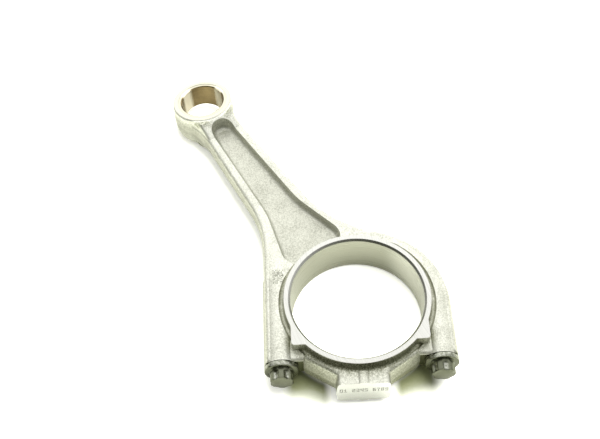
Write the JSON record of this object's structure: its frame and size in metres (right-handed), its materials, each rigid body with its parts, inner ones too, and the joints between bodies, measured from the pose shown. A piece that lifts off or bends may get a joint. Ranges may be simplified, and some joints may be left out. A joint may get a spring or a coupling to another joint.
{
  "type": "connecting rod",
  "caption": "Obliquely split engine connecting rod with bolted bearing cap, I-section beam and wedge-shaped bushed small end.",
  "frame": {"origin": "centre of the big-end bore, at the middle of its width", "axes": "+Z along the big-end and small-end bores, +Y from the big end to the small end, +X to the right of the beam"},
  "size_m": [0.0909, 0.2021, 0.021],
  "materials": {
    "forged_steel": "shot-blasted forging with bright machined faces and bores",
    "bronze": "fine bored bearing bronze",
    "dark_steel": "dark phosphated and oiled bolt steel"
  },
  "bodies": {
    "rod": {"rod_forging": "forged_steel", "small_end_bush": "bronze"},
    "cap": {"bearing_cap": "forged_steel"},
    "bolt_left": {"bolt_left": "dark_steel"},
    "bolt_right": {"bolt_right": "dark_steel"}
  },
  "joints": [
    {"name": "cap_slide", "type": "slide", "parent": "rod", "child": "cap", "axis": [-0.5, -0.866, 0], "range_m": [0, 0.016]},
    {"name": "bolt_left_turn", "type": "hinge", "parent": "cap", "child": "bolt_left", "pos_m": [-0.02927, 0.0169, 0], "axis": [-0.5, -0.866, 0], "range_deg": [0, 5770]},
    {"name": "bolt_right_turn", "type": "hinge", "parent": "cap", "child": "bolt_right", "pos_m": [0.02927, -0.0169, 0], "axis": [-0.5, -0.866, 0], "range_deg": [0, 5770]}
  ],
  "couplings": [
    {"joint": "bolt_left_turn", "follows": "cap_slide", "rad_per_m": 6283.2},
    {"joint": "bolt_right_turn", "follows": "cap_slide", "rad_per_m": 6283.2}
  ]
}
